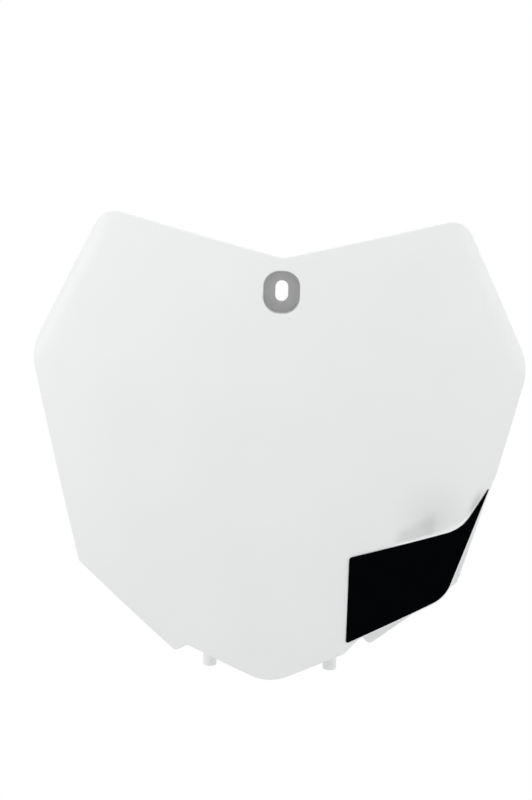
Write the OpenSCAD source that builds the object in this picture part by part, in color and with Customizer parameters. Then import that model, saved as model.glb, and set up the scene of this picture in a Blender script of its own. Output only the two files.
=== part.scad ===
// Front number plate of an off-road motorcycle: one thin, doubly curved moulding with a bolt
// pocket at the top, two locating pegs behind the nose, and a brake hose channel in one lower
// corner, under a panel that wears a black film.
// The plate faces -Y and stands upright along Z. The origin is the middle of the bolt slot, on
// the flat seat at the back of the pocket. Outline points are [x, z, corner radius].

/* [Shell] */
// Thickness of the moulded wall
wall = 2.2; // [1.8:0.1:2.8]
// Radius of the face from side to side
bow_radius = 345; // [300:5:450]
// Radius of the face from top to bottom
crown_radius = 750; // [600:10:1200]
// Height of the most forward point of the face, from the bolt slot
crown_z = -85; // [-110:1:-60]

/* [Outline] */
// Height of the notch in the top edge
notch_z = 18; // [16:0.2:24]
// Corner radius of the notch
notch_r = 12; // [4:1:24]
// Half the distance between the two horns
horn_x = 96.2; // [88:0.1:104]
// Height of the horns
horn_z = 41.1; // [34:0.2:50]
// Corner radius of the horns
horn_r = 12.5; // [6:0.5:20]
// Half the greatest width, to the sharp corner
wide_x = 133.9; // [128:0.2:142]
// Height of the widest corners
wide_z = -36.5; // [-46:0.2:-28]
// Radius of the widest corners
wide_r = 30; // [15:1:40]
// Distance of the plain lower corner from the middle
heel_x = 104.6; // [100:0.1:110]
// Height of the plain lower corner
heel_z = -149.6; // [-154:0.1:-142]
// Distance of the tooth's tip from the middle
tooth_x = 50.9; // [48:0.1:54]
// Height of the tooth's tip
tooth_z = -195.8; // [-199:0.1:-194]
// Corner radius of the tooth
tooth_r = 2.5; // [1:0.25:3]
// Distance of the root beside the tooth from the middle
root_x = 44.4; // [43:0.1:46]
// Height of the nose's sharp tip
nose_z = -212.1; // [-216:0.2:-208]
// Corner radius of the nose
nose_r = 23; // [10:1:28]
// Slope of the nose's edges, in degrees
nose_slope = 24.4; // [22:0.1:27]
// Distance of the nose's corner beside the panel from the middle
chin_x = 40.2; // [38:0.1:42]
// Place across of the bend between that corner and the panel's lower edge
neck_x = 47.8; // [45:0.1:50]
// Radius of the small corners of the outline
small_r = 1.5; // [0.5:0.1:2]

/* [Side flanges] */
// Width of the flange that is turned back along the upper sides
flange_w = 3.2; // [2:0.2:6]
// Slope of the flange, in degrees from the plane of the plate
flange_slope = 52; // [45:1:65]

/* [Bolt pocket] */
// Depth of the pocket from the face to its floor
pocket_depth = 13; // [9:0.5:18]
// Thickness of the pocket's floor
floor_t = 2.5; // [2:0.1:4]
// Width of the pocket
pocket_w = 19.1; // [16:0.1:24]
// Height of the pocket
pocket_h = 22.2; // [20:0.1:28]
// Corner radius of the pocket
pocket_r = 8.4; // [4:0.1:9]
// Width of the bolt slot
slot_w = 6.7; // [5.2:0.1:9]
// Length of the bolt slot
slot_h = 11; // [9:0.1:14]

/* [Locating pegs] */
// Radius of a peg
peg_r = 3.75; // [3:0.05:4.5]
// Distance of a peg from the middle
peg_x = 33; // [28:0.5:38]
// Distance of the pegs behind the bolt seat
peg_y = 20; // [12:0.5:28]
// Height of the pegs' lower ends
peg_z = -209.9; // [-214:0.2:-206]
// Free length of a peg
peg_len = 16.5; // [15.5:0.5:18]
// Chamfer on the end of a peg
peg_chamfer = 0.8; // [0.3:0.1:1.5]
// Thickness of the shelf that carries the pegs
shelf_t = 3; // [2:0.1:4]
// Width of an arm of the shelf
arm_w = 11; // [9:0.5:12.5]
// How far the shelf reaches behind the bolt seat between the arms
bridge_y = 3; // [-2:0.5:8]

/* [Ribs] */
// Thickness of the ribs
rib_t = 1.8; // [1.2:0.1:2.4]
// Height of the low rib along the edges
edge_rib_h = 3; // [1.5:0.5:5]
// Distance of the low rib from the edge
edge_rib_in = 5; // [4:0.5:9]
// Reach of the gussets beside the bolt pocket
pocket_gusset = 26; // [16:1:34]
// Height of the gussets over the arms
arm_gusset = 38; // [20:1:48]
// Height at which a gusset ends, where it runs out on the sheet
gusset_toe = 1; // [0.5:0.1:2]
// Distance that the low rib keeps from the hose corner
rib_clear = 12; // [8:1:16]

/* [Hose corner] */
// Distance of the film's upright edge from the middle
film_x = 40.7; // [37:0.1:44]
// Height of the film's upper inner corner
film_top_z = -139.9; // [-145:0.1:-135]
// Height of the film's lower inner corner
film_low_z = -187.9; // [-190:0.1:-184]
// Place across of the film's outer corner
film_out_x = 93.3; // [90:0.1:96]
// Height of the film's outer corner
film_out_z = -162.3; // [-166:0.1:-160]
// Radius of the film's outer corner
film_out_r = 18; // [10:1:24]
// Place across of the film's upper tip
film_tip_x = 115.2; // [114.4:0.1:115.4]
// Height of the film's upper tip
film_tip_z = -101.1; // [-103:0.1:-100]
// Place across of the bend in the film's upper edge
film_knee_x = 100.5; // [97:0.1:103]
// Height of the bend in the film's upper edge
film_knee_z = -124.5; // [-128:0.1:-122]
// Radius of the bend in the film's upper edge
film_knee_r = 20; // [8:1:24]
// White margin that the panel keeps round the film
margin = 0.8; // [0.5:0.1:1.2]
// Thickness of the film
film_t = 0.5; // [0.3:0.1:0.8]
// Thickness of the adhesive under the film
glue_t = 0.1; // [0.05:0.05:0.2]
// Place across of the hollow above the panel
hollow_x = 85; // [82:0.5:92]
// Height of the hollow above the panel
hollow_z = -124.5; // [-128:0.5:-120]
// Depth of the hollow
hollow_depth = 9; // [6:0.5:10]
// Radius of the hollow's mouth
hollow_w = 31; // [27:1:35]
// Radius of the hollow's bottom
hollow_tip_r = 8; // [6:1:12]
// Clear gap of the hose channel behind the panel
hose_gap = 11.8; // [9:0.2:14]
// Distance of the rear tongue's free edge from the middle
tongue_x = 49.2; // [46:0.1:52]
// Place across of the rear tongue's upper end
tongue_top_x = 117.9; // [115.4:0.1:118.4]
// Place across of the rear tongue's outer corner
tongue_out_x = 100.8; // [97:0.1:102]
// Height of the rear tongue's outer corner
tongue_out_z = -157.5; // [-161:0.1:-154]
// Place across of the rear tongue's tooth
tongue_tooth_x = 54; // [52.8:0.1:57]
// Height of the rear tongue's tooth
tongue_tooth_z = -191.9; // [-195:0.1:-189]
// Rise of the tongue's lower edge beside its tooth
tongue_step = 4.6; // [3:0.1:6]

/* [Hidden] */
// Facets of a round face, and steps of a corner in an outline
face_fn = 288;
hole_fn = 64;
corner_steps = 8;
// Half height of the barrel that the face is cut from, and the reach of a cut
barrel_h = horn_z - nose_z;
reach = 60;
// Place of the barrel's upright axis, so that the pocket's floor ends on the seat at y = 0
crown_sag = crown_radius - sqrt(crown_radius * crown_radius - crown_z * crown_z);
face_y = -pocket_depth - floor_t - crown_sag;
axis_y = face_y + bow_radius;
tongue_depth = wall + hose_gap;
// Radius of the hollow's rounded lip, which meets both the face and the bottom without a step
hollow_lip_r = (hollow_w * hollow_w + hollow_depth * hollow_depth) / (2 * hollow_depth) - hollow_tip_r;
// Half the size of a cut that takes in the whole plate
beyond = 300;
root_z = nose_z + root_x * tan(nose_slope);
chin_z = nose_z + chin_x * tan(nose_slope);
// Where the line of the lower side would meet the nose's edge, with no tooth
side_slope = (tooth_z - heel_z) / (tooth_x - heel_x);
joint_x = (heel_z - heel_x * side_slope - nose_z) / (tan(nose_slope) - side_slope);
joint_z = nose_z + joint_x * tan(nose_slope);

// Radius of the barrel at a level, and the face's depth at a point
function level_radius(z) = bow_radius - crown_radius + sqrt(pow(crown_radius, 2) - pow(z - crown_z, 2));
function face_at(x, z) = axis_y - sqrt(pow(level_radius(z), 2) - x * x);

// Outlines run clockwise, so the inside lies to the right of each edge
function flat(c) = [c[0], c[1]];
function heading(a, b) = (flat(b) - flat(a)) / norm(flat(b) - flat(a));
function inward(d) = [d[1], -d[0]];
function turn(u, w) = u[0] * w[1] - u[1] * w[0];
function before(c, i) = c[(i + len(c) - 1) % len(c)];
function after(c, i) = c[(i + 1) % len(c)];
// Corner i of outline c, moved in by d, with its radius kept concentric
function moved_in(c, i, d) =
    let (u = heading(before(c, i), c[i]), w = heading(c[i], after(c, i)))
    let (a = inward(u), b = inward(w), p = flat(c[i]) + d * (a + b) / (1 + a * b))
    [p[0], p[1], max(0, c[i][2] + (turn(u, w) < 0 ? -d : d))];
function inset(c, d) = [for (i = [0 : len(c) - 1]) moved_in(c, i, d)];
// Points of corner i, rounded by its radius
function corner_points(c, i) =
    let (u = heading(before(c, i), c[i]), w = heading(c[i], after(c, i)), r = c[i][2])
    let (way = turn(u, w) < 0 ? -1 : 1, bend = acos(max(-1, min(1, u * w))))
    let (start = flat(c[i]) - u * r * tan(bend / 2), hub = start - way * inward(u) * r)
    r == 0 ? [flat(c[i])] : [for (k = [0 : corner_steps])
        let (t = way * bend * k / corner_steps, s = start - hub)
        hub + [s[0] * cos(t) - s[1] * sin(t), s[0] * sin(t) + s[1] * cos(t)]];
function rounded(c) = [for (i = [0 : len(c) - 1]) each corner_points(c, i)];

film_corners = [
    [film_x, film_top_z, 2],
    [film_knee_x, film_knee_z, film_knee_r],
    [film_tip_x, film_tip_z, 0.6],
    [film_out_x, film_out_z, film_out_r],
    [film_x, film_low_z, 1]];
panel_corners = inset(film_corners, -margin);
panel_low = heading(panel_corners[4], panel_corners[3]);
neck_z = panel_corners[4][1] + (neck_x - panel_corners[4][0]) * panel_low[1] / panel_low[0];
left_side = [[-heel_x, heel_z, tooth_r], [-wide_x, wide_z, wide_r], [-horn_x, horn_z, horn_r]];
face_corners = concat([
    [0, notch_z, notch_r],
    [horn_x, horn_z, horn_r],
    [wide_x, wide_z, wide_r],
    [panel_corners[2][0], panel_corners[2][1], small_r],
    panel_corners[3],
    [neck_x, neck_z, small_r],
    [chin_x, chin_z, tooth_r],
    [0, nose_z, nose_r],
    [-root_x, root_z, small_r],
    [-tooth_x, tooth_z, tooth_r]], left_side);
// The outline that the low rib follows, without the tooth and the panel
rib_corners = concat([
    [0, notch_z, notch_r],
    [horn_x, horn_z, horn_r],
    [wide_x, wide_z, wide_r],
    [heel_x, heel_z, 0],
    [joint_x, joint_z, 0],
    [0, nose_z, nose_r],
    [-joint_x, joint_z, 0]], left_side);
tongue_corners = [
    [tongue_x, film_top_z - margin, 0],
    [film_knee_x, film_knee_z, film_knee_r],
    [tongue_top_x, film_tip_z, 0],
    [tongue_out_x, tongue_out_z, tooth_r],
    [tongue_tooth_x, tongue_tooth_z, tooth_r],
    [tongue_x, tongue_tooth_z + tongue_step, small_r]];

// Stands a flat shape up in the plane of the plate, from y = a to y = b
module upright(a, b) {
    translate([0, b, 0]) rotate([90, 0, 0]) linear_extrude(height = b - a) children();
}

// The barrel whose front is the face, with its surface moved in by o
module barrel(o) {
    translate([0, axis_y, crown_z]) rotate_extrude($fn = face_fn) intersection() {
        translate([bow_radius - crown_radius, 0]) circle(r = crown_radius - o, $fn = 2 * face_fn);
        translate([0, -barrel_h - o]) square([bow_radius + 1, 2 * (barrel_h + o)]);
    }
}

// A wide cylinder whose near side is the turned-back flange along one upper side. Its curve
// follows the face through both ends and the middle of the fold line.
module flange_side(o) {
    edge = heading([horn_x, horn_z], [wide_x, wide_z]);
    out = [-edge[1], edge[0]];
    top = [horn_x, horn_z] - flange_w * out;
    low = [wide_x, wide_z] - flange_w * out;
    mid = (top + low) / 2;
    length = norm(low - top);
    top_y = face_at(top[0], top[1]);
    low_y = face_at(low[0], low[1]);
    mid_y = face_at(mid[0], mid[1]);
    fold_sag = (top_y + low_y) / 2 - mid_y;
    fold_r = length * length / (8 * fold_sag * cos(flange_slope));
    translate([mid[0], mid_y, mid[1]]) rotate([0, -atan2(out[1], out[0]), 0])
        rotate([asin((low_y - top_y) / length), 0, 0]) rotate([0, 0, flange_slope])
            translate([0, fold_r, 0]) rotate([0, 90, 0])
                cylinder(r = fold_r - o, h = 2 * beyond, center = true, $fn = 4 * face_fn);
}

// Half the section of the hollow's tool: a ball at the bottom and a rounded lip that spreads out
// to the mouth, with the surface moved in by o
module hollow_section(o) {
    share = (hollow_tip_r + o) / (hollow_tip_r + hollow_lip_r);
    bend_x = share * hollow_w;
    bend_y = hollow_tip_r - hollow_depth - share * (hollow_tip_r + hollow_lip_r - hollow_depth);
    intersection() {
        translate([0, hollow_tip_r - hollow_depth]) circle(r = hollow_tip_r + o, $fn = face_fn);
        polygon([[0, 0], [0, -reach], [bend_x, -reach], [bend_x, 0]]);
    }
    difference() {
        polygon([[0, bend_y], [bend_x, bend_y], [hollow_w, bend_y], [hollow_w, reach], [0, reach]]);
        translate([hollow_w, -hollow_lip_r]) circle(r = hollow_lip_r - o, $fn = face_fn);
    }
}

// The tool that presses the hollow into the sheet above the panel, but not into the panel
module hollow(o) {
    lean = asin(hollow_x / level_radius(hollow_z));
    drop = asin((hollow_z - crown_z) / crown_radius);
    difference() {
        translate([hollow_x, face_at(hollow_x, hollow_z), hollow_z])
            rotate([0, 0, lean]) rotate([90 - drop, 0, 0]) rotate_extrude($fn = face_fn) hollow_section(o);
        upright(-2 * reach, reach) polygon(rounded(inset(panel_corners, o)));
    }
}

// Everything behind the face, with all its surfaces moved in by o
module behind(o) {
    difference() {
        intersection() {
            barrel(o);
            flange_side(o);
            mirror([1, 0, 0]) flange_side(o);
        }
        hollow(o);
    }
}

// The moulded sheet, of one thickness all over
module sheet() {
    intersection() {
        upright(-reach, reach) polygon(rounded(face_corners));
        difference() {
            behind(0);
            behind(wall);
        }
    }
}

// The pocket's cup, which reaches back to the seat
module cup() {
    intersection() {
        upright(-reach, 0) rounded_box(pocket_w + 2 * wall, pocket_h + 2 * wall, pocket_r + wall);
        barrel(0);
    }
}

module rounded_box(w, h, r) {
    square([w, h - 2 * r], center = true);
    square([w - 2 * r, h], center = true);
    for (x = [-1, 1], z = [-1, 1]) translate([x * (w / 2 - r), z * (h / 2 - r)]) circle(r = r, $fn = hole_fn);
}

module slot(w, h) {
    square([w, h - w], center = true);
    for (z = [-1, 1]) translate([0, z * (h - w) / 2]) circle(d = w, $fn = hole_fn);
}

// The pocket and the slot through its floor
module pocket_cut() {
    upright(-reach, -floor_t) rounded_box(pocket_w, pocket_h, pocket_r);
    upright(-reach, 1) slot(slot_w, slot_h);
}

// A low rib a little way in from the edges, clear of the hose corner
module edge_rib() {
    intersection() {
        upright(-reach, reach) difference() {
            polygon(rounded(inset(rib_corners, edge_rib_in)));
            polygon(rounded(inset(rib_corners, edge_rib_in + rib_t)));
            translate([film_x - rib_clear, -beyond]) square([beyond, beyond + film_tip_z + rib_clear]);
        }
        difference() {
            barrel(wall / 2);
            barrel(wall + edge_rib_h);
        }
    }
}

// Gussets that brace the cup against the sheet on both sides and below
module cup_gussets() {
    side = pocket_w / 2 + pocket_gusset;
    low = pocket_h / 2 + pocket_gusset;
    linear_extrude(height = rib_t, center = true)
        polygon([[-side, -reach], [side, -reach], [side, face_at(side, 0) + wall + gusset_toe],
                 [pocket_w / 2, -floor_t], [-pocket_w / 2, -floor_t],
                 [-side, face_at(side, 0) + wall + gusset_toe]]);
    rotate([90, 0, 90]) linear_extrude(height = rib_t, center = true)
        polygon([[-reach, -low], [face_at(0, -low) + wall + gusset_toe, -low],
                 [-floor_t, -pocket_h / 2], [-reach, -pocket_h / 2]]);
}

// The shelf behind the nose, with an arm to each peg and a gusset over each arm
module peg_shelf() {
    shelf_z = peg_z + peg_len;
    toe_y = face_at(peg_x, shelf_z + arm_gusset) + wall + gusset_toe;
    translate([0, 0, shelf_z]) linear_extrude(height = shelf_t) union() {
        translate([-peg_x, -reach]) square([2 * peg_x, reach + bridge_y]);
        for (side = [-1, 1]) translate([side * peg_x, 0]) {
            translate([-arm_w / 2, -reach]) square([arm_w, reach + peg_y]);
            translate([0, peg_y]) circle(d = arm_w, $fn = hole_fn);
        }
    }
    for (side = [-1, 1]) translate([side * peg_x, 0, shelf_z]) rotate([90, 0, 90])
        linear_extrude(height = rib_t, center = true)
            polygon([[-reach, 0], [peg_y, 0], [peg_y, shelf_t], [toe_y, arm_gusset], [-reach, arm_gusset]]);
}

module pegs() {
    for (side = [-1, 1]) translate([side * peg_x, peg_y, peg_z]) {
        cylinder(r1 = peg_r - peg_chamfer, r2 = peg_r, h = peg_chamfer, $fn = hole_fn);
        translate([0, 0, peg_chamfer]) cylinder(r = peg_r, h = peg_len, $fn = hole_fn);
    }
}

// The upper edge of the panel, moved in by d, from its inner corner to its tip
function upper_edge(d) = [for (i = [0 : 2]) each corner_points(inset(panel_corners, d), i)];
function backwards(list) = [for (i = [len(list) - 1 : -1 : 0]) list[i]];

// The wall over the hose channel, and the tongue that hangs from it behind the panel
module hose_tongue() {
    intersection() {
        upright(-reach, reach) difference() {
            polygon(concat(upper_edge(0), backwards(upper_edge(wall))));
            translate([0, -beyond]) square([tongue_x, beyond]);
        }
        difference() {
            barrel(wall / 2);
            barrel(tongue_depth + wall);
        }
    }
    intersection() {
        upright(-reach, reach) polygon(rounded(tongue_corners));
        difference() {
            barrel(tongue_depth);
            barrel(tongue_depth + wall);
        }
    }
}

module plate() {
    color("whitesmoke") difference() {
        union() {
            sheet();
            cup();
            intersection() {
                union() {
                    edge_rib();
                    cup_gussets();
                    peg_shelf();
                    hose_tongue();
                }
                barrel(wall / 2);
            }
            pegs();
        }
        pocket_cut();
    }
}

module corner_film() {
    color("black") intersection() {
        upright(-reach, reach) polygon(rounded(film_corners));
        difference() {
            barrel(-glue_t - film_t);
            barrel(-glue_t);
        }
    }
}

plate();
corner_film();
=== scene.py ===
import math

import bmesh
import bpy
import numpy as np
from mathutils import Matrix, Vector


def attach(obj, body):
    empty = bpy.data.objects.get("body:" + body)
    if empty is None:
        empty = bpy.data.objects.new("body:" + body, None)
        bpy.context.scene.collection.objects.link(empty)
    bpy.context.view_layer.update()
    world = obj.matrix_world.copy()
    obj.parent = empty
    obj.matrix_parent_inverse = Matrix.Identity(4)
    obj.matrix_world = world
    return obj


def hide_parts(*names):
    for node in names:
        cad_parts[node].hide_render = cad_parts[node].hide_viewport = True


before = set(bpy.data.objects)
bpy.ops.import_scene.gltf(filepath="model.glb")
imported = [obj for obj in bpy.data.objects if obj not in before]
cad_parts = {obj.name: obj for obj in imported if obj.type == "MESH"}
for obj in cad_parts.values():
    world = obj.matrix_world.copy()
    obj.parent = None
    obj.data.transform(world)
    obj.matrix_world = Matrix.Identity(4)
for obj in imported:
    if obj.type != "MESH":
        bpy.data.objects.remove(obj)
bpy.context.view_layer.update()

MM = 0.001

# The view: the camera stands about 1.2 m in front of the plate and a little above it. It rolls by
# nearly two degrees, because the plate leans clockwise in the photograph.
sensor = 36
aim = Vector((-6.3, -15, -57)) * MM
view_distance = 1194.7 * MM
view_turn = math.radians(0.64)
view_rise = math.radians(7.55)
view_roll = math.radians(1.88)
lens = 101.9
camera = bpy.data.objects.new("camera", bpy.data.cameras.new("camera"))
bpy.context.scene.collection.objects.link(camera)
camera.data.sensor_width = sensor
camera.data.lens = lens
camera.data.clip_start = 0.05
sight = Vector((-math.sin(view_turn) * math.cos(view_rise),
                math.cos(view_turn) * math.cos(view_rise), -math.sin(view_rise)))
roll = Matrix.Rotation(view_roll, 3, "Z").to_quaternion()
stand = aim - view_distance * sight
camera.matrix_world = Matrix.LocRotScale(stand, sight.to_track_quat("-Z", "Y") @ roll, None)
bpy.context.scene.camera = camera

# The plate is one injection moulding in white polypropylene, a thin sheet bowed both ways, and one
# bolt and two pegs hold it. Sizes are in millimetres, and depths are measured behind the face.
wall = 2.2
bow_radius = 345
crown_radius = 750
crown_z = -85
pocket_depth = 13
floor_t = 2.5
crown_sag = crown_radius - math.sqrt(crown_radius ** 2 - crown_z ** 2)
axis_y = bow_radius - pocket_depth - floor_t - crown_sag


def face_at(x, z, depth=0.0):
    """The bowed face, or the surface at a depth behind it."""
    level = bow_radius - crown_radius + np.sqrt((crown_radius - depth) ** 2 - (z - crown_z) ** 2)
    return axis_y - np.sqrt(level ** 2 - np.square(x))


def blended(a, b, soft):
    """The further back of two surfaces, with the fold between them rounded."""
    return np.maximum(a, b) + np.maximum(soft - abs(a - b), 0) ** 2 / (4 * soft)


# The outline of the moulding, where the mould parts. It runs clockwise from the notch at the top,
# and a corner is [x, z, radius]. Its lower right corner is the panel that the film is stuck on.
margin = 0.8
small_r = 1.5
tooth_r = 2.5
notch = [0, 18, 12]
horn = [96.2, 41.1, 12.5]
wide = [133.9, -36.5, 30]
heel = [104.6, -149.6, 0]
tooth = [-50.9, -195.8, tooth_r]
nose_z = -212.1
nose = [0, nose_z, 23]
nose_rise = math.tan(math.radians(24.4))
chin_x = 40.2
neck_x = 47.8
root_x = 44.4
seam_x = 36
arc_steps = 8
film_top = [40.7, -139.9, 2]
film_knee = [100.5, -124.5, 20]
film_tip = [115.2, -101.1, 0.25]
film_corners = [film_top, film_knee, film_tip, [93.3, -162.3, 18], [40.7, -187.9, 1]]


def heading(a, b):
    """The direction from one corner to another."""
    way = np.subtract(b[:2], a[:2])
    return way / np.linalg.norm(way)


def moved_in(corners, d):
    """An outline's corners moved in by a distance, or out if it is below zero."""
    made = []
    for i, corner in enumerate(corners):
        u = heading(corners[i - 1], corner)
        w = heading(corner, corners[(i + 1) % len(corners)])
        a = np.array([u[1], -u[0]])
        b = np.array([w[1], -w[0]])
        place = np.array(corner[:2]) + d * (a + b) / (1 + a @ b)
        convex = u[0] * w[1] - u[1] * w[0] < 0
        made.append([*place, max(0, corner[2] + (-d if convex else d))])
    return made


def corner_points(corners, i):
    """The points of the arc that rounds one corner of an outline."""
    u = heading(corners[i - 1], corners[i])
    w = heading(corners[i], corners[(i + 1) % len(corners)])
    radius = corners[i][2]
    if radius == 0:
        return [np.array(corners[i][:2], float)]
    way = -1 if u[0] * w[1] - u[1] * w[0] < 0 else 1
    bend = math.acos(max(-1, min(1, u @ w)))
    start = np.array(corners[i][:2]) - u * radius * math.tan(bend / 2)
    hub = start - way * radius * np.array([u[1], -u[0]])
    points = []
    for k in range(arc_steps + 1):
        t = way * bend * k / arc_steps
        arm = start - hub
        across = arm[0] * math.cos(t) - arm[1] * math.sin(t)
        points.append(hub + [across, arm[0] * math.sin(t) + arm[1] * math.cos(t)])
    return points


def rounded(corners):
    return [p for i in range(len(corners)) for p in corner_points(corners, i)]


panel_corners = moved_in(film_corners, -margin)
panel_low = heading(panel_corners[4], panel_corners[3])
neck_z = panel_corners[4][1] + (neck_x - panel_corners[4][0]) * panel_low[1] / panel_low[0]
panel_tip = [*panel_corners[2][:2], 0]
seam = [seam_x, nose_z + seam_x * nose_rise, 0]
left_side = [[-heel[0], heel[1], tooth_r], [-wide[0], *wide[1:]], [-horn[0], *horn[1:]]]
face_corners = [
    notch, horn, wide, panel_tip, panel_corners[3], [neck_x, neck_z, small_r],
    [chin_x, nose_z + chin_x * nose_rise, tooth_r], seam, nose,
    [-root_x, nose_z + root_x * nose_rise, small_r], tooth, *left_side]


def upper_line(corners):
    """The panel's upper edge, from the corner at the left to the sharp tip."""
    return corner_points(corners, 0) + corner_points(corners, 1) + [np.array(corners[2][:2])]


upper_edge = upper_line(panel_corners)


def off_line(x, z, line, closed=True):
    """Distance of points from a line of straight pieces."""
    ends = line[1:] + line[:1] if closed else line[1:]
    nearest = np.full(len(x), 1e9)
    for a, b in zip(line, ends):
        run = b - a
        share = np.clip(((x - a[0]) * run[0] + (z - a[1]) * run[1]) / max(run @ run, 1e-12), 0, 1)
        nearest = np.minimum(nearest, np.hypot(x - a[0] - share * run[0], z - a[1] - share * run[1]))
    return nearest


# The flanges stiffen the moulding. Both upper sides of the sheet are turned back in the mould, over
# a straight fold that leaves a narrow slope along the edge.
flange_w = 3.2
flange_rounds = 8
flange_slope = math.radians(52)
fold_soft = 1.0


def flange_at(x, z, side, depth):
    """The surface of one side's flange, found by stepping towards it along Y."""
    edge = heading(horn, wide)
    out = np.array([-edge[1], edge[0]])
    top = np.array(horn[:2]) - flange_w * out
    low = np.array(wide[:2]) - flange_w * out
    mid = (top + low) / 2
    length = np.linalg.norm(low - top)
    top_y, mid_y, low_y = (float(face_at(*p)) for p in (top, mid, low))
    fold_r = length ** 2 / (8 * ((top_y + low_y) / 2 - mid_y) * math.cos(flange_slope))
    turned = (Matrix.Rotation(-math.atan2(out[1], out[0]), 3, "Y")
              @ Matrix.Rotation(math.asin((low_y - top_y) / length), 3, "X")
              @ Matrix.Rotation(flange_slope, 3, "Z"))
    rows = np.array(turned.transposed())
    y = np.full(len(x), mid_y)
    for _ in range(flange_rounds):
        offset = np.array([side * x - mid[0], y - mid_y, z - mid[1]])
        across, along = rows[1] @ offset, rows[2] @ offset
        rise = np.sqrt(np.maximum((fold_r - depth) ** 2 - along ** 2, 1))
        y = y - (across - fold_r + rise) / rows[1][1]
    return y


# The hollow above the panel is part of the same moulding, with the wall's own thickness. It has a
# rounded bottom that opens through a wide lip into the face.
hollow_x = 85
hollow_z = -124.5
hollow_depth = 9
hollow_w = 31
hollow_tip_r = 8
mouth_soft = 1.6
hollow_rounds = 25
hollow_pull = 0.8
hollow_lip_r = (hollow_w ** 2 + hollow_depth ** 2) / (2 * hollow_depth) - hollow_tip_r
hollow_spot = np.array([hollow_x, float(face_at(hollow_x, hollow_z)), hollow_z])
bow_here = bow_radius - crown_radius + math.sqrt(crown_radius ** 2 - (hollow_z - crown_z) ** 2)
lean = math.asin(hollow_x / bow_here)
drop = math.asin((hollow_z - crown_z) / crown_radius)
hollow_out = np.array([math.sin(lean), -math.cos(lean) * math.cos(drop), math.sin(drop)])


def hollow_at(x, z, depth):
    """The surface of the hollow, found by stepping towards it along Y."""
    bend = hollow_w * (hollow_tip_r + depth) / (hollow_tip_r + hollow_lip_r)
    y = face_at(x, z, depth)
    for _ in range(hollow_rounds):
        offset = np.array([x, y, z]) - hollow_spot[:, None]
        height = hollow_out @ offset
        r = np.sqrt(np.maximum((offset ** 2).sum(0) - height ** 2, 0))
        ball = np.sqrt(np.maximum((hollow_tip_r + depth) ** 2 - r ** 2, 0))
        bottom = hollow_tip_r - hollow_depth - ball
        rest = hollow_w - np.minimum(r, hollow_w)
        lip = np.sqrt(np.maximum((hollow_lip_r - depth) ** 2 - rest ** 2, 0)) - hollow_lip_r
        y = y + hollow_pull * (height - np.where(r < bend, bottom, lip))
    return y


# The bolt pocket sinks the bolt's head below the face. It is moulded with the sheet, as a cup whose
# flat back seats on the bracket, and an upright slot in its floor lets the bolt through.
pocket = [19.1, 22.2, 8.4]
slot = [6.7, 11.0, 3.35]


def box_corners(w, h, r):
    return [[-w / 2, h / 2, r], [w / 2, h / 2, r], [w / 2, -h / 2, r], [-w / 2, -h / 2, r]]


cup = [pocket[0] + 2 * wall, pocket[1] + 2 * wall, pocket[2] + wall]

# The sheet itself, 2.2 mm thick, as one flat mesh that is then laid on the surfaces. Loops that
# follow every edge carry the edges' rounding, as the mould leaves it, and the rest is a grid.
loops = [0.15, 0.25, 0.3, 0.35]
step_half = loops[0]
tiny = 1e-6
grid = 4.0
fine_grid = 2.0
cut_snap = 0.002
edge_r = 0.7
lip_r = 0.9
rim_r = 0.4
slot_r = 0.4
foot_r = 1.0
lip_share = 0.45
foot_share = 0.35
back_step = 0.85
seat_edge = 2


def ring(bm, points, split=True):
    """Vertices of a closed outline, starting at the middle of its top where it is split."""
    line = list(points)
    if split:
        halves = []
        for i, p in enumerate(line):
            q = line[(i + 1) % len(line)]
            halves.append(p)
            if p[0] * q[0] < -1e-9:
                halves.append(p + (q - p) * p[0] / (p[0] - q[0]))
        line = halves
        first = max((i for i, p in enumerate(line) if abs(p[0]) < tiny), key=lambda i: line[i][1])
        line = line[first:] + line[:first]
    return [bm.verts.new((p[0], 0, p[1])) for p in line]


def halves_of(verts):
    """The right and the left half of an outline that starts at the middle of its top."""
    foot = min((i for i, v in enumerate(verts) if abs(v.co.x) < tiny), key=lambda i: verts[i].co.z)
    return verts[:foot + 1], verts[foot:] + verts[:1]


def inset(bm, faces, width):
    """Adds a loop of one width inside the edge of some faces."""
    bmesh.ops.inset_region(bm, faces=faces, thickness=width, use_even_offset=True, use_boundary=True)


def flat_sheet():
    """The flat sheet as faces that share the lines where its surface breaks."""
    bm = bmesh.new()
    outer = ring(bm, rounded(face_corners))
    cup_edge = ring(bm, rounded(box_corners(*cup)))
    rim = ring(bm, rounded(box_corners(*pocket)))
    hole = ring(bm, rounded(box_corners(*slot)))
    regions = []
    for inner, around in ((hole, rim), (rim, cup_edge)):
        made = []
        for a, b in zip(halves_of(inner), halves_of(around)):
            made.append(bm.faces.new(b + a[::-1]))
        regions.append(made)
    right, left = halves_of(outer)
    cup_right, cup_left = halves_of(cup_edge)
    tip = min(right, key=lambda v: math.hypot(v.co.x - panel_tip[0], v.co.z - panel_tip[1]))
    foot = min(right, key=lambda v: math.hypot(v.co.x - seam[0], v.co.z - seam[1]))
    chain = [bm.verts.new((p[0], 0, p[1])) for p in upper_edge[:-1]]
    at_tip, at_foot = right.index(tip), right.index(foot)
    face_right = bm.faces.new(right[:at_tip + 1] + chain[::-1] + right[at_foot:] + cup_right[::-1])
    face_left = bm.faces.new(left + cup_left[::-1])
    panel = bm.faces.new(chain + right[at_tip:at_foot + 1])
    regions += [[face_right, face_left], [panel]]
    bmesh.ops.recalc_face_normals(bm, faces=bm.faces)
    for region in regions:
        steps = loops if region is regions[2] or region is regions[3] else loops[:3]
        for width in steps:
            inset(bm, region, width)
    return bm


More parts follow.
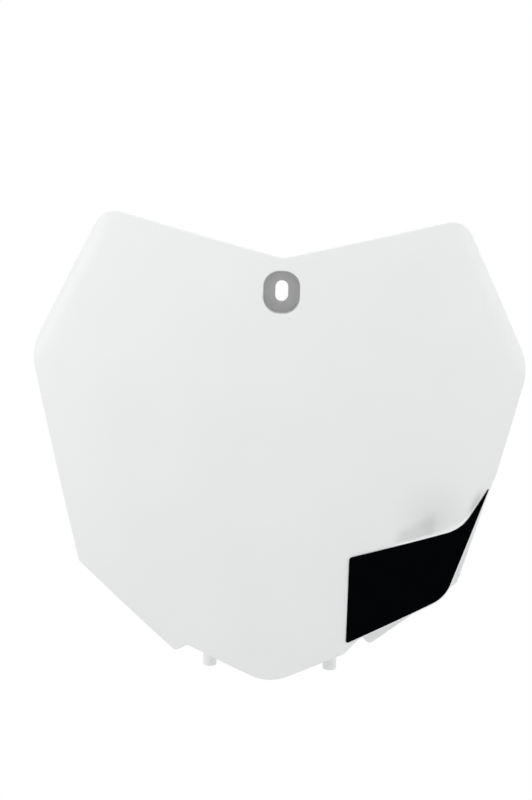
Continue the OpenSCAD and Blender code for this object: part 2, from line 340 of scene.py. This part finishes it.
def cut_faces(bm, faces, place, normal):
    """Cuts some faces of a mesh along a plane."""
    edges = {e for f in faces for e in f.edges}
    verts = {v for f in faces for v in f.verts}
    geom = [*faces, *edges, *verts]
    bmesh.ops.bisect_plane(bm, geom=geom, dist=cut_snap, plane_co=place, plane_no=normal)


def cut_grid(bm, pitch, low, high):
    """Cuts the faces inside a window along lines of one pitch."""
    for axis in (0, 2):
        count = int((high[axis] - low[axis]) / pitch)
        for k in range(count + 1):
            place = Vector((0, 0, 0))
            place[axis] = low[axis] + k * pitch
            normal = Vector((0, 0, 0))
            normal[axis] = 1
            near = []
            for f in bm.faces:
                mid = f.calc_center_median()
                along = [v.co[axis] for v in f.verts]
                in_window = all(low[n] <= mid[n] <= high[n] for n in (0, 2))
                if in_window and min(along) < place[axis] < max(along):
                    near.append(f)
            cut_faces(bm, near, place, normal)


def above_panel(x, z):
    """Distance above the panel's upper edge, below zero on the panel."""
    edge_z = np.interp(x, [p[0] for p in upper_edge], [p[1] for p in upper_edge])
    return np.where(z >= edge_z, 1, -1) * off_line(x, z, upper_edge, closed=False)


def skin(x, z, depth, step_at):
    """The sheet at a depth, without and with the hollow, and the place above the panel's edge."""
    plain = face_at(x, z, depth)
    for side in (-1, 1):
        plain = blended(plain, flange_at(x, z, side, depth), fold_soft)
    pressed = blended(plain, hollow_at(x, z, depth), mouth_soft)
    above = above_panel(x, z) - step_at
    share = np.clip((above + step_half) / (2 * step_half), 0, 1)
    return plain, pressed, above, share


def quarter(distance, radius):
    """How far a rounded edge falls back at a distance from the edge."""
    reach = np.clip(radius - distance, 0, radius)
    return radius - np.sqrt(np.maximum(radius ** 2 - reach ** 2, 0))


def inside_box(x, z, w, h, r):
    """Distance outside a rounded box, below zero inside it."""
    across = np.maximum(abs(x) - (w / 2 - r), 0)
    up = np.maximum(abs(z) - (h / 2 - r), 0)
    flat = np.minimum(np.maximum(abs(x) - w / 2, abs(z) - h / 2), 0)
    return np.where((across > 0) | (up > 0), np.hypot(across, up) - r, flat)


def front_of(x, z):
    """The moulding's front, with its edges rounded."""
    plain, pressed, above, share = skin(x, z, 0, 0)
    drop_here = np.maximum(pressed - plain, 0)
    lip = np.minimum(lip_r, lip_share * drop_here)
    foot = np.minimum(foot_r, foot_share * drop_here)
    top = plain + quarter(np.maximum(-above - step_half, 0), np.maximum(lip, tiny))
    low = pressed - quarter(np.maximum(above - step_half, 0), np.maximum(foot, tiny))
    sheet = top + (low - top) * share
    sheet += quarter(off_line(x, z, rounded(face_corners)), edge_r)
    gap = inside_box(x, z, *pocket)
    sheet += quarter(np.maximum(gap - step_half, 0), rim_r)
    bottom = -floor_t - quarter(np.maximum(-gap - step_half, 0), edge_r)
    bottom += quarter(off_line(x, z, rounded(box_corners(*slot))), slot_r)
    return bottom + (sheet - bottom) * np.clip((gap + step_half) / (2 * step_half), 0, 1)


def back_of(x, z):
    """The sheet's back, with its edges rounded."""
    plain, pressed, above, share = skin(x, z, wall, -back_step)
    sheet = plain + (pressed - plain) * share
    sheet -= quarter(off_line(x, z, rounded(face_corners)), edge_r)
    gap = inside_box(x, z, *cup)
    sheet += quarter(np.maximum(gap - step_half, 0), foot_r)
    seat = -quarter(np.maximum(-gap - step_half, 0), edge_r) * (gap > -seat_edge)
    seat -= quarter(off_line(x, z, rounded(box_corners(*slot))), slot_r)
    return seat + (sheet - seat) * np.clip((gap + step_half) / (2 * step_half), 0, 1)


def thickened(bm, front, back):
    """Makes a flat sheet a closed solid between two surfaces."""
    kept = set(bm.verts)
    bmesh.ops.extrude_face_region(bm, geom=bm.faces[:], use_keep_orig=True)
    first = [v for v in bm.verts if v in kept]
    moved = [v for v in bm.verts if v not in kept]
    for surface, verts in ((front, first), (back, moved)):
        x = np.array([v.co.x for v in verts])
        z = np.array([v.co.z for v in verts])
        for v, y in zip(verts, surface(x, z)):
            v.co.y = y
    bmesh.ops.recalc_face_normals(bm, faces=bm.faces)


def cut_near(bm, point, way, reach):
    """Cuts the faces near a line that runs along way through point."""
    across = Vector((way[1], 0, -way[0]))
    start = Vector((point[0], 0, point[1]))
    near = [f for f in bm.faces if abs((f.calc_center_median() - start).dot(across)) < reach]
    cut_faces(bm, near, start, across)


crease = math.radians(38)


def finished(bm, name, material, node):
    """Makes a piece of the frame from a mesh in millimetres."""
    bmesh.ops.scale(bm, vec=(MM, MM, MM), verts=bm.verts)
    mesh = bpy.data.meshes.new(name)
    bm.to_mesh(mesh)
    bm.free()
    mesh.shade_smooth()
    mesh.set_sharp_from_angle(angle=crease)
    mesh.materials.append(material)
    piece = bpy.data.objects.new(name, mesh)
    bpy.context.scene.collection.objects.link(piece)
    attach(piece, "root")
    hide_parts(node)
    return piece


# The white plastic has a faint cloud in its colour and the fine skin of a blasted mould. Shade is
# painted into it as grey where the surface lies deep, and a mesh attribute carries that painted shade.
white_clean = (0.842, 0.85, 0.85, 1)
white_cloudy = (0.825, 0.834, 0.836, 1)
white_painted_shade = (0.6, 0.6, 0.605, 1)
plastic_ior = 1.49


def node(material, kind, **values):
    """Adds a shader node and sets its inputs by name."""
    made = material.node_tree.nodes.new(kind)
    for name, value in values.items():
        made.inputs[name.replace("_", " ")].default_value = value
    return made


def noise(material, scale, detail, low=0, high=1):
    """Even noise over the object, between two values."""
    place = node(material, "ShaderNodeTexCoord")
    grain = node(material, "ShaderNodeTexNoise", Scale=scale, Detail=detail)
    span = node(material, "ShaderNodeMapRange", From_Min=0.3, From_Max=0.7, To_Min=low, To_Max=high)
    links = material.node_tree.links
    links.new(place.outputs["Object"], grain.inputs["Vector"])
    links.new(grain.outputs["Fac"], span.inputs["Value"])
    return span.outputs["Result"]


def blend_of(material, share, first, second):
    """A colour between two others, each a colour or an output."""
    mix = material.node_tree.nodes.new("ShaderNodeMix")
    mix.data_type = "RGBA"
    material.node_tree.links.new(share, mix.inputs[0])
    for socket, colour in ((mix.inputs[6], first), (mix.inputs[7], second)):
        if isinstance(colour, tuple):
            socket.default_value = colour
        else:
            material.node_tree.links.new(colour, socket)
    return mix.outputs[2]


def grained(material, shader, scale, strength, depth):
    """Gives a surface fine grain."""
    bump = node(material, "ShaderNodeBump", Strength=strength, Distance=depth)
    material.node_tree.links.new(noise(material, scale, detail=3), bump.inputs["Height"])
    material.node_tree.links.new(bump.outputs["Normal"], shader.inputs["Normal"])


white = bpy.data.materials.new("white_polypropylene")
white.use_nodes = True
shader = white.node_tree.nodes["Principled BSDF"]
shader.inputs["IOR"].default_value = plastic_ior
shade_mask = white.node_tree.nodes.new("ShaderNodeAttribute")
shade_mask.attribute_name = "shade_mask"
clean = blend_of(white, noise(white, scale=22, detail=3), white_clean, white_cloudy)
# Painted shade: where the mesh's mask is high, the white turns grey.
tone = blend_of(white, shade_mask.outputs["Fac"], clean, white_painted_shade)
links = white.node_tree.links
links.new(tone, shader.inputs["Base Color"])
links.new(noise(white, scale=60, detail=4, low=0.36, high=0.46), shader.inputs["Roughness"])
grained(white, shader, scale=2600, strength=0.12, depth=0.00005)

# The sheet is cut finer along the folds of the flanges and round the hollow, then gets its two sides
# from the mould: the front and the back.
fold_cuts = (-1.5, -0.9, -0.3, 0.3, 0.9, 1.5)
fold_reach = 6
plate_low = Vector((-140.3, 0, -219.3))
plate_high = Vector((140, 0, 46))
hollow_low = Vector((50.7, 0, -160.3))
hollow_high = Vector((121, 0, -90))
fold_way = heading(horn, wide)
fold_out = np.array([-fold_way[1], fold_way[0]])
sheet = flat_sheet()
for side in (-1, 1):
    for shift in fold_cuts:
        place = np.array(horn[:2]) - (flange_w + shift) * fold_out
        cut_near(sheet, (side * place[0], place[1]), (side * fold_way[0], fold_way[1]), fold_reach)
cut_grid(sheet, grid, plate_low, plate_high)
cut_grid(sheet, fine_grid, hollow_low, hollow_high)
thickened(sheet, front_of, back_of)

# The low rib stiffens the back. It is moulded with the sheet, follows the edges 5 mm in, and stops
# clear of the hose corner.
rib_t = 1.8
rib_in = 5
rib_h = 3
rib_r = 0.6
rib_clear = 12
rib_loops = (0.25, 0.35, 0.6, 0.35, 0.25)
sunk = 0.5
side_slope = (tooth[1] - heel[1]) / (-tooth[0] - heel[0])
joint_x = (heel[1] - heel[0] * side_slope - nose_z) / (nose_rise - side_slope)
joint_z = nose_z + joint_x * nose_rise
rib_corners = [
    notch, horn, wide, heel, [joint_x, joint_z, 0], nose, [-joint_x, joint_z, 0], *left_side]
grid_shift = Vector((0.37, 0, 0.41))
weld = 0.02


def flat_shape(outline, steps, pitch):
    """A flat face with loops along its edge and a grid over it."""
    bm = bmesh.new()
    face = bm.faces.new(ring(bm, outline, split=False))
    for width in steps:
        inset(bm, [face], width)
    low = Vector((min(p[0] for p in outline), 0, min(p[1] for p in outline)))
    high = Vector((max(p[0] for p in outline), 0, max(p[1] for p in outline)))
    cut_grid(bm, pitch, low + grid_shift, high)
    bmesh.ops.remove_doubles(bm, verts=bm.verts, dist=weld)
    return bm


def low_rib():
    """The rib as a ring of loops, with the corner at the hose left out."""
    bm = bmesh.new()
    outer = rounded(moved_in(rib_corners, rib_in))
    inner = rounded(moved_in(rib_corners, rib_in + rib_t))
    inside = bm.faces.new(ring(bm, outer, split=False))
    for width in rib_loops:
        inset(bm, [inside], width)
    bmesh.ops.delete(bm, geom=[inside], context="FACES")
    stop_x = film_top[0] - rib_clear
    stop_z = film_tip[1] + rib_clear
    for place, way in (((stop_x, 0, 0), (1, 0, 0)), ((0, 0, stop_z), (0, 0, 1))):
        everything = bm.faces[:] + bm.edges[:] + bm.verts[:]
        bmesh.ops.bisect_plane(bm, geom=everything, dist=cut_snap, plane_co=place, plane_no=way)
    middles = {f: f.calc_center_median() for f in bm.faces}
    gone = [f for f, mid in middles.items() if mid.x > stop_x and mid.z < stop_z]
    bmesh.ops.delete(bm, geom=gone, context="FACES")
    cut_grid(bm, grid, plate_low, plate_high)

    def top_of(x, z):
        edge = np.minimum(off_line(x, z, outer), off_line(x, z, inner))
        return face_at(x, z, wall + rib_h) - quarter(edge, rib_r)

    thickened(bm, lambda x, z: face_at(x, z, wall - sunk), top_of)
    return bm


# Thin gussets brace the pocket's cup at the back, on both sides and below. They are moulded with the
# sheet, taper out towards their toes and have eased edges.
gusset_reach = 26
gusset_toe = 1
gusset_root = 1
fin_ease = 0.4
side_steps = 12
low_steps = 9


def fin(points, normal, thickness):
    """A flat fin through its outline points, with its free edges eased."""
    bm = bmesh.new()
    half = Vector(normal) * thickness / 2
    face = bm.faces.new([bm.verts.new(Vector(p) - half) for p in points])
    moved = bmesh.ops.extrude_face_region(bm, geom=[face], use_keep_orig=True)["geom"]
    bmesh.ops.translate(bm, verts=[v for v in moved if isinstance(v, bmesh.types.BMVert)], vec=2 * half)
    bmesh.ops.recalc_face_normals(bm, faces=bm.faces)
    bmesh.ops.bevel(bm, geom=bm.edges[:], offset=fin_ease, segments=2, profile=0.5,
                    affect="EDGES", material=-1)
    return bm


def behind_face(x, z, depth):
    """The depth of one point behind the face, as a plain number."""
    return float(face_at(x, z, depth))


def cup_fins():
    """The three gussets of the cup."""
    side = pocket[0] / 2 + gusset_reach
    low = -pocket[1] / 2 - gusset_reach
    inner = pocket[0] / 2 + gusset_root
    for way in (-1, 1):
        across = np.linspace(inner, side, side_steps)
        front = [(way * x, behind_face(x, 0, wall - gusset_root), 0) for x in across]
        back = [(way * side, behind_face(side, 0, wall + gusset_toe), 0), (way * inner, -floor_t, 0)]
        yield fin(front + back, (0, 0, 1), rib_t)
    inner = -pocket[1] / 2 - gusset_root
    front = [(0, behind_face(0, z, wall - gusset_root), z) for z in np.linspace(low, inner, low_steps)]
    back = [(0, -floor_t, inner), (0, behind_face(0, low, wall + gusset_toe), low)]
    yield fin(front + back, (1, 0, 0), rib_t)


# The shelf behind the nose carries the two locating pegs on its arms, and a gusset stands on each
# arm. All are moulded with the sheet, and the pegs plug into rubber sleeves on the machine.
peg_r = 3.75
peg_x = 33
peg_y = 20
peg_z = -209.9
peg_len = 16.5
peg_edge = 0.8
peg_segments = 64
shelf_t = 3
arm_w = 11
bridge_y = 3
arm_gusset = 38
shelf_z = peg_z + peg_len
shelf_steps = 21
arm_steps = 16


def shelf():
    """The shelf with its two round-ended arms."""
    reach = peg_x + arm_w / 2
    inner = peg_x - arm_w / 2
    level = shelf_z + shelf_t / 2
    across = np.linspace(-reach, reach, shelf_steps)
    points = [(x, behind_face(x, level, wall - gusset_root), level) for x in across]
    turn = [math.pi * k / arm_steps for k in range(arm_steps + 1)]
    end = [(arm_w / 2 * math.cos(a), peg_y + arm_w / 2 * math.sin(a)) for a in turn]
    points += [(peg_x + x, y, level) for x, y in end]
    points += [(inner, bridge_y, level), (-inner, bridge_y, level)]
    points += [(-peg_x + x, y, level) for x, y in end]
    return fin(points, (0, 0, 1), shelf_t)


def arm_fins():
    """The gussets that stand on the shelf's arms."""
    top = shelf_z + arm_gusset
    low = shelf_z + gusset_root
    for x in (-peg_x, peg_x):
        front = [(x, behind_face(x, z, wall - gusset_root), z) for z in np.linspace(top, low, side_steps)]
        toe = (x, behind_face(x, top, wall + gusset_toe), top)
        back = [(x, peg_y, low), (x, peg_y, shelf_z + shelf_t), toe]
        yield fin(front + back, (1, 0, 0), rib_t)


def pegs():
    """The two pegs, with bevelled lower ends."""
    for x in (-peg_x, peg_x):
        bm = bmesh.new()
        height = peg_len + shelf_t / 2
        place = Matrix.Translation((x, peg_y, peg_z + height / 2))
        bmesh.ops.create_cone(bm, cap_ends=True, segments=peg_segments, radius1=peg_r, radius2=peg_r,
                              depth=height, matrix=place)
        end = [e for e in bm.edges if all(v.co.z < peg_z + 0.01 for v in e.verts)]
        bmesh.ops.bevel(bm, geom=end, offset=peg_edge, segments=4, profile=0.5,
                        affect="EDGES", material=-1)
        yield bm


# The hose channel is moulded with the plate. A wall drops back from the panel's upper edge over the
# hose, and the tongue hangs from the wall behind the panel and keeps the hose in.
hose_gap = 11.8
hose_inset = 0.3
hose_end = 0.12
tongue_depth = wall + hose_gap
tongue_x = 49.2
tongue_tip_x = 117.9
tongue_out = [100.8, -157.5, tooth_r]
tongue_tooth = [54, -191.9, tooth_r]
tongue_step = 4.6
film_rise = (film_knee[1] - film_top[1]) / (film_knee[0] - film_top[0])
tongue_top = film_top[1] + (tongue_x - film_top[0]) * film_rise
tongue_corners = [
    [tongue_x, tongue_top, 0], film_knee, [*film_tip[:2], 0], [tongue_tip_x, film_tip[1], 0],
    tongue_out, tongue_tooth, [tongue_x, tongue_tooth[1] + tongue_step, small_r]]


def hose_wall():
    """The wall over the hose. Its ends stop just short of the tongue's own faces."""
    top = upper_line(moved_in(panel_corners, hose_inset))
    low = upper_line(moved_in(panel_corners, wall))
    bm = flat_shape(top + low[::-1], [], grid)
    everything = bm.faces[:] + bm.edges[:] + bm.verts[:]
    start = (tongue_x + hose_end, 0, 0)
    bmesh.ops.bisect_plane(bm, geom=everything, dist=cut_snap, plane_co=start, plane_no=(1, 0, 0),
                           clear_inner=True)
    end_depth = tongue_depth + wall - hose_end
    thickened(bm, lambda x, z: face_at(x, z, wall - sunk), lambda x, z: face_at(x, z, end_depth))
    return bm


def tongue():
    """The tongue behind the panel, with rounded edges."""
    outline = rounded(tongue_corners)
    bm = flat_shape(outline, loops, grid)

    def front(x, z):
        return face_at(x, z, tongue_depth) + quarter(off_line(x, z, outline), edge_r)

    def back(x, z):
        return face_at(x, z, tongue_depth + wall) - quarter(off_line(x, z, outline), edge_r)

    thickened(bm, front, back)
    return bm


tight_weld = 0.003


def merged(parts):
    """One solid from parts that overlap."""
    whole = None
    for bm in parts:
        mesh = bpy.data.meshes.new("part")
        bm.to_mesh(mesh)
        bm.free()
        part = bpy.data.objects.new("part", mesh)
        bpy.context.scene.collection.objects.link(part)
        if whole is None:
            whole = part
            continue
        join = whole.modifiers.new("join", "BOOLEAN")
        join.operation = "UNION"
        join.solver = "EXACT"
        join.object = part
        joined = whole.evaluated_get(bpy.context.evaluated_depsgraph_get())
        mesh = bpy.data.meshes.new_from_object(joined)
        whole.modifiers.clear()
        whole.data = mesh
        bpy.data.objects.remove(part)
    bm = bmesh.new()
    bm.from_mesh(whole.data)
    bmesh.ops.remove_doubles(bm, verts=bm.verts, dist=tight_weld)
    bmesh.ops.dissolve_degenerate(bm, edges=bm.edges, dist=tight_weld)
    bpy.data.objects.remove(whole)
    return bm


back_parts = [low_rib(), *cup_fins(), shelf(), *arm_fins(), *pegs(), hose_wall(), tongue()]
plate_piece = finished(merged([sheet, *back_parts]), "plate_moulding", white, "plate")

# Shade is painted into the skin as grey where it lies deep or in shadow: inside the bolt pocket, at the
# foot of the step below the hollow, and beside the film's tip. A pair is where a change starts and ends.
foot_left = (62, 70)
foot_fade = (74, 84)
foot_right = (84, 87.5)
foot_height = (3, 10)
foot_painted_shade = 0.62
tip_left = (102.5, 107)
tip_right = (108.5, 112)
tip_height = (0.5, 4.5)
tip_painted_shade = 0.9
faded = 0.4
pocket_over = 0.1
pocket_above = 0.3
skin_deep = 1


def ease(value, start, end):
    """A soft step from 0 to 1."""
    share = np.clip((value - start) / (end - start), 0, 1)
    return share * share * (3 - 2 * share)


def painted_shade(x, y, z):
    """How much shade is painted on the skin, from 0 to 1."""
    in_pocket = (inside_box(x, z, *pocket) < pocket_over) & (y < -floor_t + pocket_above)
    above = above_panel(x, z)
    on_front = (y < front_of(x, z) + skin_deep) & (above > 0)
    foot = foot_painted_shade * ease(x, *foot_left) * (1 - ease(x, *foot_right)) * (1 - ease(above, *foot_height))
    foot *= 1 - faded * ease(x, *foot_fade)
    tip = tip_painted_shade * ease(x, *tip_left) * (1 - ease(x, *tip_right)) * (1 - ease(above, *tip_height))
    return np.where(in_pocket, 1.0, np.where(on_front, np.maximum(foot, tip), 0.0))


# The painted shade goes on the moulding's vertices as a mask.
skin_points = np.array([v.co for v in plate_piece.data.vertices]) / MM
shade_mask_values = plate_piece.data.attributes.new("shade_mask", "FLOAT", "POINT").data
shade_mask_values.foreach_set("value", painted_shade(*skin_points.T).astype(np.float32))

# The film is matt black vinyl, half a millimetre thick. It is cut with a knife to the panel, with a
# thin white margin left round it, and its glue holds it on the face.
film_t = 0.5
glue_t = 0.1
film_edge_r = 0.2
film_loops = [0.08, 0.12, 0.3]
film_shine = 0.008
black = bpy.data.materials.new("black_vinyl")
black.use_nodes = True
shader = black.node_tree.nodes["Principled BSDF"]
black_even = (0.0004, 0.001, 0.0014, 1)
black_pale = (0.0008, 0.0014, 0.002, 1)
tone = blend_of(black, noise(black, scale=90, detail=4), black_even, black_pale)
links = black.node_tree.links
links.new(tone, shader.inputs["Base Color"])
links.new(noise(black, scale=400, detail=3, low=0.72, high=0.86), shader.inputs["Roughness"])
grained(black, shader, scale=3500, strength=0.2, depth=0.00004)
shader.inputs["Specular IOR Level"].default_value = film_shine
film_outline = rounded(film_corners)
film = flat_shape(film_outline, film_loops, grid)


def film_front(x, z):
    return face_at(x, z, -glue_t - film_t) + quarter(off_line(x, z, film_outline), film_edge_r)


thickened(film, film_front, lambda x, z: face_at(x, z, -glue_t))
finished(film, "black_film", black, "corner_film")

# The room is white all round, with a pale floor well below the plate. Broad lamps at both sides
# light the flanges, one overhead lights the lips, and one behind gives the back its shape.
floor_z = -0.8
floor_r = 1.5
floor_segments = 96
pale = (0.92, 0.92, 0.92, 1)
worn = (0.9, 0.9, 0.9, 1)
floor_rough = 0.8
floor_glow = 0.85
room_light = 0.75
floor_mesh = bpy.data.meshes.new("floor")
bm = bmesh.new()
below = Matrix.Translation((0, 0, floor_z))
bmesh.ops.create_circle(bm, cap_ends=True, segments=floor_segments, radius=floor_r, matrix=below)
bm.to_mesh(floor_mesh)
bm.free()
floor = bpy.data.objects.new("floor", floor_mesh)
bpy.context.scene.collection.objects.link(floor)
ground = bpy.data.materials.new("pale_floor")
ground.use_nodes = True
floor_mesh.materials.append(ground)
shader = ground.node_tree.nodes["Principled BSDF"]
shader.inputs["Roughness"].default_value = floor_rough
links = ground.node_tree.links
links.new(blend_of(ground, noise(ground, scale=3, detail=2), pale, worn), shader.inputs["Base Color"])
glow = node(ground, "ShaderNodeEmission", Color=(1, 1, 1, 1), Strength=1)
seen = ground.node_tree.nodes.new("ShaderNodeLightPath")
share = ground.node_tree.nodes.new("ShaderNodeMath")
share.operation = "MULTIPLY"
share.inputs[1].default_value = floor_glow
links.new(seen.outputs["Is Camera Ray"], share.inputs[0])
mixed = ground.node_tree.nodes.new("ShaderNodeMixShader")
links.new(share.outputs[0], mixed.inputs[0])
links.new(shader.outputs[0], mixed.inputs[1])
links.new(glow.outputs[0], mixed.inputs[2])
links.new(mixed.outputs[0], ground.node_tree.nodes["Material Output"].inputs["Surface"])

# The room's light is even from all sides. Looked at directly, or mirrored in the plastic, it is white.
world = bpy.data.worlds.new("room")
world.use_nodes = True
bpy.context.scene.world = world
links = world.node_tree.links
path = world.node_tree.nodes.new("ShaderNodeLightPath")
seen = path.outputs["Is Camera Ray"]
for kind in ("Is Glossy Ray", "Is Transmission Ray"):
    either = world.node_tree.nodes.new("ShaderNodeMath")
    either.operation = "MAXIMUM"
    links.new(seen, either.inputs[0])
    links.new(path.outputs[kind], either.inputs[1])
    seen = either.outputs[0]
strength = node(world, "ShaderNodeMapRange", To_Min=room_light, To_Max=1.0)
links.new(seen, strength.inputs["Value"])
sky = world.node_tree.nodes["Background"]
sky.inputs["Color"].default_value = (1, 1, 1, 1)
links.new(strength.outputs[0], sky.inputs["Strength"])
bpy.context.scene.view_settings.view_transform = "Standard"

# Each lamp has its name, its place in metres, its power in watts and its width.
lamps = (
    ("left_lamp", (-1.2, -0.5, 0.25), 4, 0.8),
    ("right_lamp", (1.2, -0.4, 0.3), 2.2, 0.8),
    ("top_lamp", (0.1, -0.35, 1.2), 3.6, 0.5),
    ("back_lamp", (0.9, 1.1, 0.5), 2.2, 0.8))
for name, place, energy, size in lamps:
    lamp_data = bpy.data.lights.new(name, "AREA")
    lamp_data.energy = energy
    lamp_data.size = size
    lamp = bpy.data.objects.new(name, lamp_data)
    bpy.context.scene.collection.objects.link(lamp)
    towards = (aim - Vector(place)).to_track_quat("-Z", "Y")
    lamp.matrix_world = Matrix.LocRotScale(Vector(place), towards, None)
